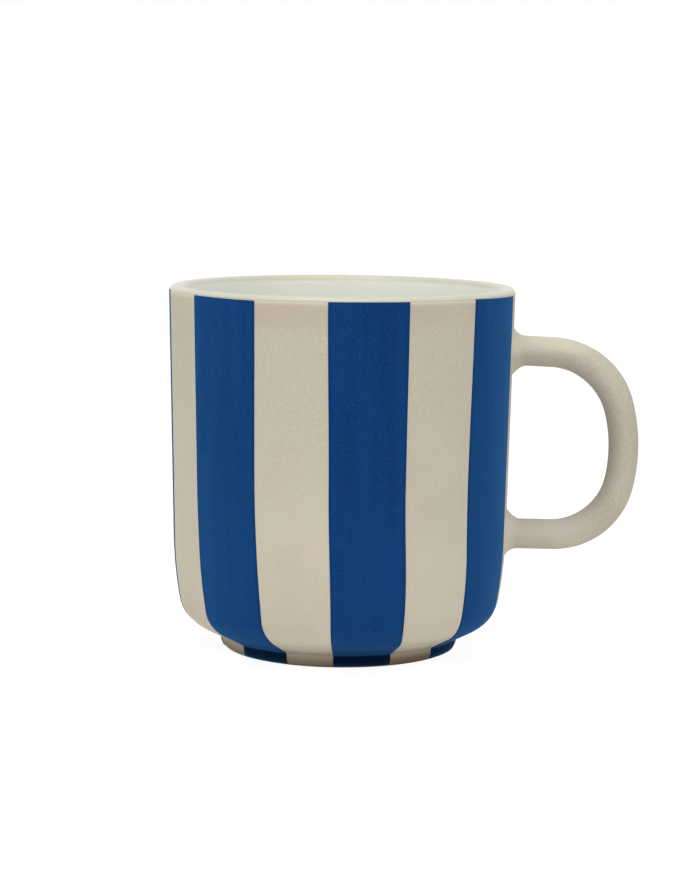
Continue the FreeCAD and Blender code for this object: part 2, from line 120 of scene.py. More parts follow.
# %% A bench for making finishes
class Finish:
    """A new material, with short ways to add patterns to its shader.

    Settings and sockets are named as the shader names them, with underscores for spaces.
    """

    def __init__(self, name, **settings):
        self.material = bpy.data.materials.new(name)
        self.material.use_nodes = True
        self.nodes = self.material.node_tree.nodes
        self.shader = self.nodes["Principled BSDF"]
        self.end = self.nodes["Material Output"]
        self.place = self.nodes.new("ShaderNodeTexCoord").outputs["Object"]
        self.relief_so_far = None
        for socket, value in settings.items():
            self.shader.inputs[socket.replace("_", " ")].default_value = value

    def join(self, output, socket):
        """Feed one node's output into a socket."""
        self.material.node_tree.links.new(output, socket)

    def feed(self, **patterns):
        """Feed patterns into the shader's own sockets."""
        for socket, pattern in patterns.items():
            self.join(pattern, self.shader.inputs[socket.replace("_", " ")])

    def noise(self, size, detail=3.0, stretch=(1, 1, 1)):
        """A cloudy pattern of 0 to 1 whose blotches have a size in metres, stretched along an axis."""
        mapping = self.nodes.new("ShaderNodeMapping")
        mapping.inputs["Scale"].default_value = [1 / (size * share) for share in stretch]
        pattern = self.nodes.new("ShaderNodeTexNoise")
        pattern.inputs["Scale"].default_value = 1.0
        pattern.inputs["Detail"].default_value = detail
        self.join(self.place, mapping.inputs["Vector"])
        self.join(mapping.outputs["Vector"], pattern.inputs["Vector"])
        return pattern.outputs["Fac"]

    def remap(self, pattern, from_range, to_range):
        """Stretch one range of a pattern to another, smoothly."""
        node = self.nodes.new("ShaderNodeMapRange")
        node.interpolation_type = "SMOOTHSTEP"
        node.inputs["From Min"].default_value, node.inputs["From Max"].default_value = from_range
        node.inputs["To Min"].default_value, node.inputs["To Max"].default_value = to_range
        self.join(pattern, node.inputs["Value"])
        return node.outputs["Result"]

    def times(self, first, second):
        """Where two patterns meet."""
        node = self.nodes.new("ShaderNodeMath")
        node.operation = "MULTIPLY"
        self.join(first, node.inputs[0])
        self.join(second, node.inputs[1])
        return node.outputs["Value"]

    def along(self, axis):
        """How far a point lies along an axis from the middle of the foot, in metres."""
        split = self.nodes.new("ShaderNodeSeparateXYZ")
        self.join(self.place, split.inputs["Vector"])
        return split.outputs[axis]

    def tint(self, under, over, share):
        """Lay one colour over another by a pattern's share."""
        node = self.nodes.new("ShaderNodeMix")
        node.data_type = "RGBA"
        for colour, socket in ((under, "A"), (over, "B")):
            socket = [entry for entry in node.inputs if entry.name == socket and entry.type == "RGBA"][0]
            if isinstance(colour, bpy.types.NodeSocket):
                self.join(colour, socket)
            else:
                socket.default_value = (*colour, 1)
        self.join(share, node.inputs["Factor"])
        return [entry for entry in node.outputs if entry.type == "RGBA"][0]

    def relief(self, pattern, depth):
        """Raise a pattern by a depth in metres, on top of what was raised before."""
        node = self.nodes.new("ShaderNodeBump")
        node.inputs["Distance"].default_value = depth
        self.join(pattern, node.inputs["Height"])
        if self.relief_so_far:
            self.join(self.relief_so_far, node.inputs["Normal"])
        self.relief_so_far = node.outputs["Normal"]
        self.feed(Normal=self.relief_so_far)

print("the bench can", ", ".join(name for name in vars(Finish) if not name.startswith("_")))

# %% [markdown]
# ## The floor and the light
# The mug stands on a wide pale floor in a plain pale room. The camera and shiny surfaces see both of
# them as white, by the Light Path node, while the clay is lit by their real, milder colour. That keeps
# the foot and the underside dark, as they are on a real table, and all that is round them white.

# %% Tell the rays apart
seeing_rays = ("Is Camera Ray", "Is Glossy Ray", "Is Transmission Ray")

def add_seen_share(nodes, links):
    """1 for rays that see the background, from the camera or by way of gloss or glass, else 0."""
    path = nodes.new("ShaderNodeLightPath")
    share = path.outputs[seeing_rays[0]]
    for other in seeing_rays[1:]:
        most = nodes.new("ShaderNodeMath")
        most.operation = "MAXIMUM"
        links.new(share, most.inputs[0])
        links.new(path.outputs[other], most.inputs[1])
        share = most.outputs["Value"]
    return share

print("background seen by", len(seeing_rays), "kinds of ray")

# %% Lay the floor
floor_size = 6.0
floor_gap = 0.00005
floor_colour = (0.84, 0.83, 0.785)
mottle_size = 0.35
mottle_shade = 0.97
noise_span = (0.3, 0.7)
seen_floor_glow = 0.93
seen_floor_shade = 0.16

def make_floor_finish():
    """Pale board with a faint mottle, which is seen as white but for the mug's shadow."""
    finish = Finish("pale_floor", Roughness=0.9, Specular_IOR_Level=0.0)
    mottle = finish.remap(finish.noise(mottle_size), noise_span, (0.0, 1.0))
    darker = tuple(mottle_shade * value for value in floor_colour)
    finish.feed(Base_Color=finish.tint(floor_colour, darker, mottle))
    glow = finish.nodes.new("ShaderNodeEmission")
    glow.inputs["Strength"].default_value = seen_floor_glow
    shade = finish.nodes.new("ShaderNodeBsdfDiffuse")
    shade.inputs["Color"].default_value = (seen_floor_shade, seen_floor_shade, seen_floor_shade, 1)
    white = finish.nodes.new("ShaderNodeAddShader")
    finish.join(glow.outputs["Emission"], white.inputs[0])
    finish.join(shade.outputs["BSDF"], white.inputs[1])
    swap = finish.nodes.new("ShaderNodeMixShader")
    finish.join(add_seen_share(finish.nodes, finish.material.node_tree.links), swap.inputs["Fac"])
    finish.join(finish.shader.outputs["BSDF"], swap.inputs[1])
    finish.join(white.outputs["Shader"], swap.inputs[2])
    finish.join(swap.outputs["Shader"], finish.end.inputs["Surface"])
    return finish.material

bpy.ops.object.select_all(action="DESELECT")
bpy.ops.mesh.primitive_plane_add(size=floor_size, location=(0, 0, -floor_gap))
floor = bpy.context.object
floor.name = "floor"
floor.data.materials.append(make_floor_finish())
print("floor", floor_size, "m wide")

# %% Light the room
room_light = 0.54

world = bpy.data.worlds.new("pale_room")
bpy.context.scene.world = world
world.use_nodes = True
room = world.node_tree.nodes["Background"]
room.inputs["Color"].default_value = (room_light, room_light, room_light, 1)
white_room = world.node_tree.nodes.new("ShaderNodeBackground")
white_room.inputs["Color"].default_value = (1, 1, 1, 1)
swap = world.node_tree.nodes.new("ShaderNodeMixShader")
links = world.node_tree.links
links.new(add_seen_share(world.node_tree.nodes, links), swap.inputs["Fac"])
links.new(room.outputs["Background"], swap.inputs[1])
links.new(white_room.outputs["Background"], swap.inputs[2])
links.new(swap.outputs["Shader"], world.node_tree.nodes["World Output"].inputs["Surface"])
print("room lit at", room_light, "of white")

# %% Hang the lamps
softboxes = [
    ("top_box", (-0.10, -0.15, 1.30), 0.9, 10.5),
    ("left_box", (-1.10, -0.75, 0.35), 0.8, 4.3),
    ("right_box", (0.85, -1.00, 0.35), 0.8, 4.8),
]
lit_spot = Vector((0, 0, lip_height / 2))

for name, place, size, power in softboxes:
    bpy.ops.object.light_add(type="AREA", location=place)
    lamp = bpy.context.object
    lamp.name = name
    lamp.rotation_euler = (lit_spot - lamp.location).to_track_quat("-Z", "Y").to_euler()
    lamp.data.size = size
    lamp.data.energy = power
print(len(softboxes), "soft lamps")

# %% [markdown]
# ## The cup's outline
# A potter who makes a set of cups turns each one against the same template, cut to half of the cup's
# section. The template is a line of straight runs and arcs, each point given by its distance from the
# axis and its height. Arcs are worked out from their centres, so no curve is ever guessed.

# %% Lines and arcs of the template
chord_error = 0.000004
pace = 0.004
tiny = 0.000002
QUARTER = math.pi / 2

def turned(length, angle):
    """A step of some length in some direction, as (outwards, upwards)."""
    return Vector((length * math.cos(angle), length * math.sin(angle)))

def run(start, end):
    """Points along a straight run."""
    steps = max(1, round((end - start).length / pace))
    return [start.lerp(end, step / steps) for step in range(steps + 1)]

def arc(centre, radius, start, end):
    """Points round an arc. A chord strays from it by an eighth of the radius times its angle squared."""
    steps = math.ceil(abs(end - start) / math.sqrt(8 * chord_error / radius))
    return [centre + turned(radius, start + (end - start) * step / steps) for step in range(steps + 1)]

def joined(*parts):
    """One line out of several that follow each other."""
    points = []
    for point in sum(parts, []):
        if not points or (point - points[-1]).length > tiny:
            points.append(point)
    return points

def nested_centre(point, direction, side, radius, outer_centre, outer_radius):
    """Centre of an arc that rests on a line and runs smoothly into a larger arc round it."""
    along = turned(1, direction)
    offset = point + turned(radius, direction + side * QUARTER) - outer_centre
    part = offset.dot(along)
    reach = math.sqrt(part ** 2 - offset.length_squared + (outer_radius - radius) ** 2) - part
    return outer_centre + offset + along * reach

print("a quarter of the heel takes", len(arc(Vector((0, 0)), heel_radius, 0, QUARTER)), "points")

# %% The outside, from the table to the lip
wall_top = Vector((rim_radius, lip_height - lip_outer_round * (1 + math.sin(wall_draft))))
wall_length = (wall_top.y - shoulder_height) / math.cos(wall_draft)
shoulder = wall_top - turned(wall_length, QUARTER - wall_draft)
shoulder_centre = shoulder - turned(shoulder_radius, -wall_draft)
notch_centre = Vector((foot_radius + notch_round, foot_height))
underside_start = notch_centre + turned(notch_round, underside_slope + QUARTER)
heel_centre = nested_centre(underside_start, underside_slope, 1, heel_radius,
                            shoulder_centre, shoulder_radius)
from_shoulder = heel_centre - shoulder_centre
heel_end = math.atan2(from_shoulder.y, from_shoulder.x)
heel_line = arc(heel_centre, heel_radius, underside_slope - QUARTER, heel_end)
foot_edge = Vector((foot_radius - foot_outer_round, foot_outer_round))
outside_line = joined(
    arc(foot_edge, foot_outer_round, -QUARTER, 0),
    run(Vector((foot_radius, foot_outer_round)), Vector((foot_radius, foot_height))),
    arc(notch_centre, notch_round, math.pi, underside_slope + QUARTER),
    run(underside_start, heel_line[0]),
    heel_line,
    arc(shoulder_centre, shoulder_radius, heel_end, -wall_draft),
    run(shoulder, wall_top),
    arc(wall_top - turned(lip_outer_round, -wall_draft), lip_outer_round, -wall_draft, QUARTER),
)
print(len(outside_line), "points outside")

# %% The inside and the underneath
core = wall_top - turned(wall_thickness - lip_inner_round, -wall_draft)
lip_core = core + turned((lip_height - lip_inner_round - core.y) / math.cos(wall_draft),
                         QUARTER - wall_draft)
inner_wall_top = lip_core - turned(lip_inner_round, -wall_draft)
inner_fall = inner_wall_top.y - floor_height - floor_round * (1 - math.sin(wall_draft))
inner_wall_foot = inner_wall_top - turned(inner_fall / math.cos(wall_draft), QUARTER - wall_draft)
floor_centre = inner_wall_foot - turned(floor_round, -wall_draft)
inside_line = joined(
    arc(lip_core, lip_inner_round, QUARTER, math.pi - wall_draft),
    run(inner_wall_top, inner_wall_foot),
    arc(floor_centre, floor_round, -wall_draft, -QUARTER),
    run(Vector((floor_centre.x, floor_height)), Vector((0, floor_height))),
)
foot_inner = foot_radius - foot_width
recess_corner = Vector((foot_inner - recess_round, recess_depth - recess_round))
inner_edge = Vector((foot_inner + foot_inner_round, foot_inner_round))
underneath_line = joined(
    run(Vector((0, recess_depth)), Vector((recess_corner.x, recess_depth))),
    arc(recess_corner, recess_round, QUARTER, 0),
    arc(inner_edge, foot_inner_round, math.pi, math.pi + QUARTER),
)
print(len(inside_line), "points inside,", len(underneath_line), "underneath")

# %% [markdown]
# ## Working by hand
# Blender's modelling tools act on whatever is selected, so each piece is started with nothing else
# selected. A turned piece then takes two steps: its template's line is drawn from corner to corner by
# pulling each edge out of the last, and the line is spun round the cup's axis.

# %% Helpers for working by hand
def begin():
    """Leave whatever was being edited, with nothing selected."""
    if bpy.context.object and bpy.context.object.mode == "EDIT":
        bpy.ops.object.mode_set(mode="OBJECT")
    bpy.ops.object.select_all(action="DESELECT")

def open_new(name):
    """Name the piece that was just added, settle its place into its mesh and open it for editing."""
    piece = bpy.context.object
    piece.name = name
    piece.data.name = name
    bpy.ops.object.transform_apply(location=True, rotation=True, scale=True)
    bpy.ops.object.mode_set(mode="EDIT")
    bpy.ops.mesh.select_all(action="SELECT")
    return piece

def push(outwards, upwards):
    """Pull a new edge out of the selected one and move it."""
    bpy.ops.mesh.extrude_region_move(TRANSFORM_OT_translate={"value": (outwards, 0, upwards)})

def agree():
    """Make all faces agree on which way is out."""
    bpy.ops.mesh.select_all(action="SELECT")
    bpy.ops.mesh.normals_make_consistent(inside=False)

print("modelling starts in", bpy.context.mode.lower(), "mode")

# %% Draw a line and turn it
crease_angle = math.radians(50)

def draw_line(name, points):
    """Draw a template's line as edges: one corner, pulled out from point to point."""
    begin()
    bpy.ops.mesh.primitive_plane_add(size=pace, location=(points[0].x, 0, points[0].y))
    piece = open_new(name)
    bpy.ops.mesh.merge(type="CENTER")
    for here, there in zip(points, points[1:]):
        push(outwards=there.x - here.x, upwards=there.y - here.y)
    return piece

def turn_line(steps, sweep=2 * math.pi):
    """Turn the line round the axis and weld what meets."""
    bpy.ops.mesh.select_all(action="SELECT")
    bpy.ops.mesh.spin(steps=steps, angle=-sweep, center=(0, 0, 0), axis=(0, 0, 1))
    bpy.ops.mesh.select_all(action="SELECT")
    bpy.ops.mesh.remove_doubles(threshold=tiny)
    agree()

def smooth(piece):
    """Close the piece for editing and shade it smoothly, but for true corners."""
    bpy.ops.object.mode_set(mode="OBJECT")
    bpy.ops.object.shade_smooth_by_angle(angle=crease_angle)
    return piece

def report(piece):
    """Print how large a finished piece is."""
    sides = [f"{side * 1000:.1f}" for side in piece.dimensions]
    print(f"{piece.name}: {' x '.join(sides)} mm, {len(piece.data.polygons)} faces")

print("edges sharper than", round(math.degrees(crease_angle)), "degrees stay crisp")

# %% [markdown]
# ## The cup
# The real cup is turned in one piece. Its foot ring, heel, wall, lip and floor are one closed line here
# as well, turned once round the axis. A cylinder with its ends pushed in would need each rounding to be
# put back by hand, so the line is the shorter way.

# %% Turn the cup
turning_steps = 160
cup = draw_line("cup", joined(underneath_line, outside_line, inside_line))
turn_line(turning_steps)
smooth(cup)
report(cup)

# %% [markdown]
# ## The glaze inside
# Glaze is a skin of glass. It covers the floor and the inner wall, runs over the lip and stops a little
# way down outside, in an edge that is never quite level. The skin is the cup's own line moved out by
# the glaze's thickness, thinner where it runs off the lip. It is a separate piece, so that its finish
# and its edge can be its own.

# %% The line of a coat
def crossing(points, height):
    """Where a rising line crosses a height."""
    for before, after in zip(points, points[1:]):
        if before.y <= height <= after.y and after.y > before.y:
            return before.lerp(after, (height - before.y) / (after.y - before.y))

def above(points, height):
    """The stretch of a rising line above a height."""
    return [crossing(points, height)] + [point for point in points if point.y > height]

def below(points, height):
    """The stretch of a rising line below a height."""
    return [point for point in points if point.y < height] + [crossing(points, height)]

def coated(points, coat):
    """A line moved out by a coat, whose thickness depends on where a point lies."""
    moved = []
    for number, point in enumerate(points):
        before, after = points[max(number - 1, 0)], points[min(number + 1, len(points) - 1)]
        along = (after - before).normalized()
        moved.append(point + Vector((along.y, -along.x)) * coat(point))
    return moved

print("half-way up, the wall lies", round(crossing(outside_line, lip_height / 2).x * 1000, 2), "mm out")

# %% Pour the glaze
lining_overlap = 0.00066
thin_lining = 0.00012
sunk = 0.0001
lining_edge = lip_height - lining_overlap

def lining_at(point):
    """The glaze is thin at its outer edge and full from the lip's top inwards."""
    if point.x < rim_radius - lip_outer_round:
        return lining_coat
    share = (point.y - lining_edge) / lining_overlap
    return thin_lining + (lining_coat - thin_lining) * min(1, max(0, share)) ** 2

def face(piece, place, way):
    """Turn a skin over if its face nearest to a place looks away from the side that should show."""
    mesh = bmesh.from_edit_mesh(piece.data)
    nearest = min(mesh.faces, key=lambda entry: (entry.calc_center_median() - Vector(place)).length)
    if nearest.normal.dot(Vector(way)) < 0:
        bpy.ops.mesh.select_all(action="SELECT")
        bpy.ops.mesh.flip_normals()

covered = joined(above(outside_line, lining_edge), inside_line)
lining = draw_line("glaze_lining", coated(covered, lining_at))
turn_line(turning_steps)
face(lining, (0, 0, floor_height), (0, 0, 1))
print("glaze runs down to", round(lining_edge * 1000, 2), "mm")

# %% [markdown]
# The edge outside is pulled up and down a little at twenty places round the lip, each time with a soft
# reach, as the glaze's own runs do it. The rest of the skin is hidden meanwhile, because hidden points
# stay where they are. Then the skin gets its thickness and a rounded edge.

# %% Helpers for a thin coat
bevel_steps = 3
bevel_angle = math.radians(60)

def pick(piece, wanted):
    """Select the points, and only those, whose place passes a test."""
    mesh = bmesh.from_edit_mesh(piece.data)
    for corner in mesh.verts:
        corner.select = wanted(corner.co)
    mesh.select_flush_mode()
    bmesh.update_edit_mesh(piece.data)

def thicken(piece, thickness):
    """Give a skin its thickness, inwards from the face that shows."""
    solid = piece.modifiers.new("thickness", "SOLIDIFY")
    solid.thickness = thickness
    solid.offset = -1
    bpy.ops.object.modifier_apply(modifier=solid.name)

def soften_edges(piece, width):
    """Round the edges of a thin coat, as glaze and slip are never sharp."""
    bevel = piece.modifiers.new("soft_edge", "BEVEL")
    bevel.width = width
    bevel.segments = bevel_steps
    bevel.limit_method = "ANGLE"
    bevel.angle_limit = bevel_angle
    bpy.ops.object.modifier_apply(modifier=bevel.name)

print("a coat's edges are rounded in", bevel_steps, "steps")

# %% Let the glaze's edge wander
edge_pulls = 20
edge_pull = 0.00008
pull_scatter = 0.3
pull_reach = 0.008
hand = random.Random(4)

pick(lining, lambda place: place.z < lining_edge + sunk
     and place.xy.length > rim_radius - lip_outer_round / 2)
bpy.ops.mesh.hide(unselected=True)
for number in range(edge_pulls):
    around = 2 * math.pi * (number + hand.uniform(-pull_scatter, pull_scatter)) / edge_pulls
    spot = Vector((rim_radius * math.cos(around), rim_radius * math.sin(around), lining_edge))
    pick(lining, lambda place: (place - spot).length < pace / 3)
    bpy.ops.transform.translate(value=(0, 0, hand.uniform(-edge_pull, edge_pull)),
                                use_proportional_edit=True, use_proportional_connected=True,
                                proportional_size=pull_reach)
bpy.ops.mesh.reveal()
bpy.ops.object.mode_set(mode="OBJECT")
thicken(lining, thin_lining + sunk)
soften_edges(lining, sunk / 2)
smooth(lining)
report(lining)

# %% [markdown]
# ## The stripes
# The stripes are coloured slip, brushed on in a thin coat between strips of masking tape. There are
# seven, with gaps as wide as themselves, and the handle stands in the middle of a gap. One is made as
# a sector of the cup's own line, and the others are copies of it, swung round the axis.

# %% Brush the first stripe
stripe_count = 7
stripe_coat = 0.00013
stripe_columns = 18
stripe_sweep = math.pi / stripe_count
side_share = 0.49
stripe_line = below(above(outside_line, stripe_low.z), stripe_high.z)
painted_line = coated(stripe_line, lambda point: stripe_coat)

def swing(angle):
    """Swing what is selected round the cup's axis. Without a window the tool turns the other way."""
    bpy.ops.transform.rotate(value=-angle, orient_axis="Z", center_override=(0, 0, 0))

def round_from(place, centre):
    """The angle round the axis from a centre line to a place, between minus and plus half a turn."""
    return (math.atan2(place.y, place.x) - centre + math.pi) % (2 * math.pi) - math.pi

stripe = draw_line("stripe_1", painted_line)
turn_line(stripe_columns, stripe_sweep)
bpy.ops.mesh.select_all(action="SELECT")
swing(math.pi - stripe_sweep / 2)
face(stripe, (-rim_radius, 0, lip_height / 2), (-1, 0, 0))
bpy.ops.object.mode_set(mode="OBJECT")

inner = stripe.data.attributes.new("from_edge", "FLOAT", "POINT")
levels = sorted({round(corner.co.z, 6) for corner in stripe.data.vertices})
for corner in stripe.data.vertices:
    at_side = abs(round_from(corner.co, math.pi)) > stripe_sweep * side_share
    at_end = corner.co.z < levels[0] + tiny or corner.co.z > levels[-1] - tiny
    inner.data[corner.index].value = 0.0 if at_side or at_end else 1.0
print(len(levels), "levels in a stripe of", stripe_columns, "columns")

# %% [markdown]
# Tape on a curved wall never runs dead straight, so each stripe's sides stray by up to a millimetre
# from where they belong, and by more on the narrow foot and along one side that was taped askew. How
# far is set in millimetres for its left and right side at the lip, at half height, at the heel and at
# the foot, and eased in between. Each side is swung round the axis by that much, and the points inside
# follow it in proportion. The brush also stops short of the glaze in places, so a stripe's top falls
# off by up to half a millimetre to one side. Its uppermost levels move down the cup's line for that.

# %% Say how far the sides stray
drift_heights = (lip_height, lip_height / 2, 0.012, 0.002)
drifts = [
    ((0.2, -0.2, 0.1, 0.3), (0.1, 0.3, -0.2, 0.1)),
    ((-0.4, -0.3, 0.9, 2.7), (0.5, 0.3, 1.4, 3.2)),
    ((-0.5, 0.0, 0.7, 0.9), (-0.2, -0.3, 0.6, 2.3)),
    ((0.0, -0.6, 0.2, 1.6), (2.4, 2.4, 2.6, 2.0)),
    ((0.1, 0.4, -0.1, 0.3), (-0.2, 0.2, 0.4, 0.1)),
    ((-0.3, 0.1, 0.2, -0.1), (0.2, -0.1, -0.3, 0.2)),
    ((0.3, -0.1, -0.2, 0.1), (-0.1, 0.2, 0.1, -0.3)),
]

def stray(marks, height):
    """How far a side strays at a height, in metres, eased between its marks."""
    for top, bottom, upper, lower in zip(drift_heights, drift_heights[1:], marks, marks[1:]):
        if height > bottom:
            share = (top - height) / (top - bottom)
            return (upper + (lower - upper) * share * share * (3 - 2 * share)) / 1000
    return marks[-1] / 1000

most = max(abs(stray(side, lip_height / 2)) for sides in drifts for side in sides)
print("at half height, a side strays by up to", round(most * 1000, 1), "mm")

# %% Move the sides and the tops
top_falls = [(0.0, 0.1), (0.07, 0.22), (0.02, 0.02), (0.0, 0.42), (0.1, 0.0), (0.05, 0.15), (0.1, 0.05)]
top_reach = 0.003

def stray_sides(piece, centre, sides):
    """Swing a stripe's points round the axis, by more the nearer they are to its sides."""
    for corner in piece.data.vertices:
        across = 2 * round_from(corner.co, centre) / stripe_sweep
        angle = abs(across) * stray(sides[across > 0], corner.co.z) / rim_radius
        corner.co = Matrix.Rotation(angle, 3, "Z") @ corner.co

def lower_top(piece, centre, left, right):
    """Let a stripe's top fall off by so many millimetres at its left and at its right."""
    top = painted_line[-1].y - tiny
    for corner in piece.data.vertices:
        share = 1 - (top - corner.co.z) / top_reach
        if share > 0:
            across = 0.5 + round_from(corner.co, centre) / stripe_sweep
            height = min(top, corner.co.z - share * (left + (right - left) * across) / 1000)
            corner.co.xy *= crossing(painted_line, height).x / corner.co.xy.length
            corner.co.z = height

print("the tops fall off by up to", max(max(falls) for falls in top_falls), "mm")

# %% Copy the stripes and give them their coat
def take(piece):
    """Select one piece and nothing else."""
    begin()
    piece.select_set(True)
    bpy.context.view_layer.objects.active = piece

stripes = [stripe]
for number in range(1, stripe_count):
    take(stripe)
    bpy.ops.object.duplicate()
    copy = open_new(f"stripe_{number + 1}")
    swing(2 * math.pi * number / stripe_count)
    bpy.ops.object.mode_set(mode="OBJECT")
    stripes.append(copy)

for number, (piece, sides, falls) in enumerate(zip(stripes, drifts, top_falls)):
    centre = math.pi + 2 * math.pi * number / stripe_count
    stray_sides(piece, centre, sides)
    lower_top(piece, centre, *falls)
    take(piece)
    thicken(piece, stripe_coat + sunk)
    soften_edges(piece, stripe_coat / 2)
    smooth(piece)
    report(piece)

# %% [markdown]
# ## The handle
# The handle is a soft oval bar of clay, bent while it is wet: a nearly level arm, a bend, a slightly
# bowed back, a second bend and a level arm back to the wall. Here an oval ring is pulled along the
# arm, spun round each bend's centre, and pulled back. The centres follow from the arms' heights, the
# reach and the radii, so every join between run and bend is smooth. Clay thickens where it is bent:
# one ring near the middle of each bend is scaled up in the loop's plane, with a soft reach both ways.

# %% The bar's sizes and bend centres
bar_low, bar_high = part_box("handle")
bar_width = bar_high.y - bar_low.y
bar_thickness = 0.00745
bar_facets = 56
upper_arm_drop = 0.0150
lower_arm_height = 0.02955
upper_arm = Vector((rim_radius - wall_thickness, lip_height - upper_arm_drop))
lower_arm = Vector((rim_radius - wall_thickness, lower_arm_height))
arm_droop = math.radians(2.0)
upper_bend_radius = 0.0180
lower_bend_radius = 0.0170
back_radius = 0.0393
back_sag = 0.00105
back_middle = (upper_arm.y + lower_arm.y) / 2 - back_sag
back_centre = Vector((bar_high.x - bar_thickness / 2 - back_radius, back_middle))
upper_bend = nested_centre(upper_arm, -arm_droop, -1, upper_bend_radius, back_centre, back_radius)
lower_bend = nested_centre(lower_arm, 0, 1, lower_bend_radius, back_centre, back_radius)
print("bend centres at", [round(value, 4) for value in (*upper_bend, *lower_bend)])

# %% Helpers for pulling and bending
arm_steps = 4
bend_steps = 26
back_steps = 18

def direction(vector):
    """Which way a step points."""
    return math.atan2(vector.y, vector.x)

def pull_bar(reach):
    """Pull the bar's end along an arm, in a few even steps."""
    for step in range(arm_steps):
        push(outwards=reach.x / arm_steps, upwards=reach.y / arm_steps)

def bend_bar(centre, sweep, steps):
    """Bend the bar's end round a centre. The spin tool turns the other way round its axis."""
    bpy.ops.mesh.spin(steps=steps, angle=-sweep, center=(centre.x, 0, centre.y), axis=(0, 1, 0))

upper_turn = direction(upper_bend - back_centre)
lower_turn = direction(lower_bend - back_centre)
print("the back bends by", round(math.degrees(upper_turn - lower_turn)), "degrees")

# %% Pull and bend the bar
begin()
root = (upper_arm.x, 0, upper_arm.y)
bpy.ops.mesh.primitive_circle_add(vertices=bar_facets, radius=bar_width / 2, fill_type="NOTHING",
                                  location=root, rotation=(0, QUARTER, 0))
bar = open_new("bar")
bpy.ops.transform.resize(value=(1, 1, bar_thickness / bar_width), center_override=root)
bpy.ops.transform.rotate(value=-arm_droop, orient_axis="Y", center_override=root)
pull_bar(upper_bend + turned(upper_bend_radius, QUARTER - arm_droop) - upper_arm)
bend_bar(upper_bend, QUARTER - arm_droop - upper_turn, bend_steps)
bend_bar(back_centre, upper_turn - lower_turn, back_steps)
bend_bar(lower_bend, lower_turn + QUARTER, bend_steps)
pull_bar(Vector((lower_arm.x - lower_bend.x, 0)))
for arm in (upper_arm, lower_arm):
    pick(bar, lambda place: abs(place.x - arm.x) < bar_thickness * math.sin(arm_droop)
         and abs(place.z - arm.y) < bar_thickness)
    bpy.ops.mesh.edge_face_add()
print("bar closed with", len(bmesh.from_edit_mesh(bar.data).faces), "faces")

# %% Swell the bends
bend_swell = 1.05
swell_reach = 0.0150
upper_swell_step = 16
lower_swell_step = 13

def swell_bend(centre, radius, arm_turn, back_turn, step):
    """Thicken the bar round one ring of a bend, so many steps from the arm towards the back."""
    step_turn = (back_turn - arm_turn) / bend_steps
    ring_turn = arm_turn + step * step_turn
    spot = centre + turned(radius, ring_turn)
    pick(bar, lambda place: (place.xz - spot).length < bar_thickness
         and abs(direction(place.xz - centre) - ring_turn) < abs(step_turn) / 3)
    bpy.ops.transform.resize(value=(bend_swell, 1, bend_swell), center_override=(spot.x, 0, spot.y),
                             use_proportional_edit=True, use_proportional_connected=True,
                             proportional_size=swell_reach)

swell_bend(upper_bend, upper_bend_radius, QUARTER - arm_droop, upper_turn, upper_swell_step)
swell_bend(lower_bend, lower_bend_radius, -QUARTER, lower_turn, lower_swell_step)
agree()
smooth(bar)
report(bar)

# %% [markdown]
# ## The slip round the handle's ends
# Two pieces of leather-hard clay are glued with slip, which is liquid clay. A little is squeezed out
# all round the joint, and a wet brush draws it into a small hollow curve. More of it is left on the
# side of the finger gap, where the brush can't reach so well. Each curve is a ring that is grown from
# the bar's oval towards the wall, pushed in behind its surface, and then set to the round wall.

# %% Say how far the slip spreads
slip_reach = 0.0034
slip_flare = 0.0018
slip_hollow = 2.8
gap_flare = 0.00245
gap_hollow = 1.8
slip_steps = 12
slip_depth = 0.0008
slip_tuck = slip_depth / 8

def slip_rings():
    """Each ring's place in front of the wall, its spread round the bar and that beside the gap."""
    rings = [(slip_reach, -slip_tuck, -slip_tuck)]
    for step in range(slip_steps + 1):
        share = step / slip_steps
        rings.append((slip_reach * (1 - share), slip_flare * share ** slip_hollow,
                      gap_flare * share ** gap_hollow))
    return rings + [(-slip_depth, slip_flare, gap_flare), (-slip_depth, -slip_depth, -slip_depth),
                    (slip_reach / 2, -slip_depth, -slip_depth)]

print(len(slip_rings()), "rings round each end of the bar")

# %% Brush the slip into the joints
def wall_depth(place):
    """How far the cup's outside lies behind its front line, beside the middle and at other heights."""
    radius = crossing(outside_line, place.z).x
    return math.sqrt(radius ** 2 - place.y ** 2)

def brush_slip(name, arm, droop, gap_side):
    """Make the hollow curve of slip round one end of the bar. The gap side is 1 above and -1 below."""
    wall = crossing(outside_line, arm.y).x

    def oval(ring):
        """A ring's middle, its half width and its half height."""
        place, spread, gap_spread = ring
        fall = (wall + place - arm.x) * math.tan(droop)
        middle = arm.y - fall + gap_side * (gap_spread - spread) / 2
        return (Vector((wall + place, 0, middle)), bar_width / 2 + spread,
                bar_thickness / 2 + (spread + gap_spread) / 2)

    ovals = [oval(ring) for ring in slip_rings()]
    spot, wide, high = ovals[0]
    begin()
    bpy.ops.mesh.primitive_circle_add(vertices=bar_facets, radius=wide, fill_type="NOTHING",
                                      location=spot, rotation=(0, QUARTER, 0))
    piece = open_new(name)
    bpy.ops.transform.resize(value=(1, 1, high / wide), center_override=spot)
    for (here, wide, high), (there, wider, higher) in zip(ovals, ovals[1:]):
        push(outwards=there.x - here.x, upwards=there.z - here.z)
        bpy.ops.transform.resize(value=(1, wider / wide, higher / high), center_override=there)
    bpy.ops.mesh.select_all(action="SELECT")
    bpy.ops.mesh.region_to_loop()
    bpy.ops.mesh.bridge_edge_loops()
    agree()
    bpy.ops.object.mode_set(mode="OBJECT")
    for corner in piece.data.vertices:
        corner.co.x += wall_depth(corner.co) - wall
    return smooth(piece)

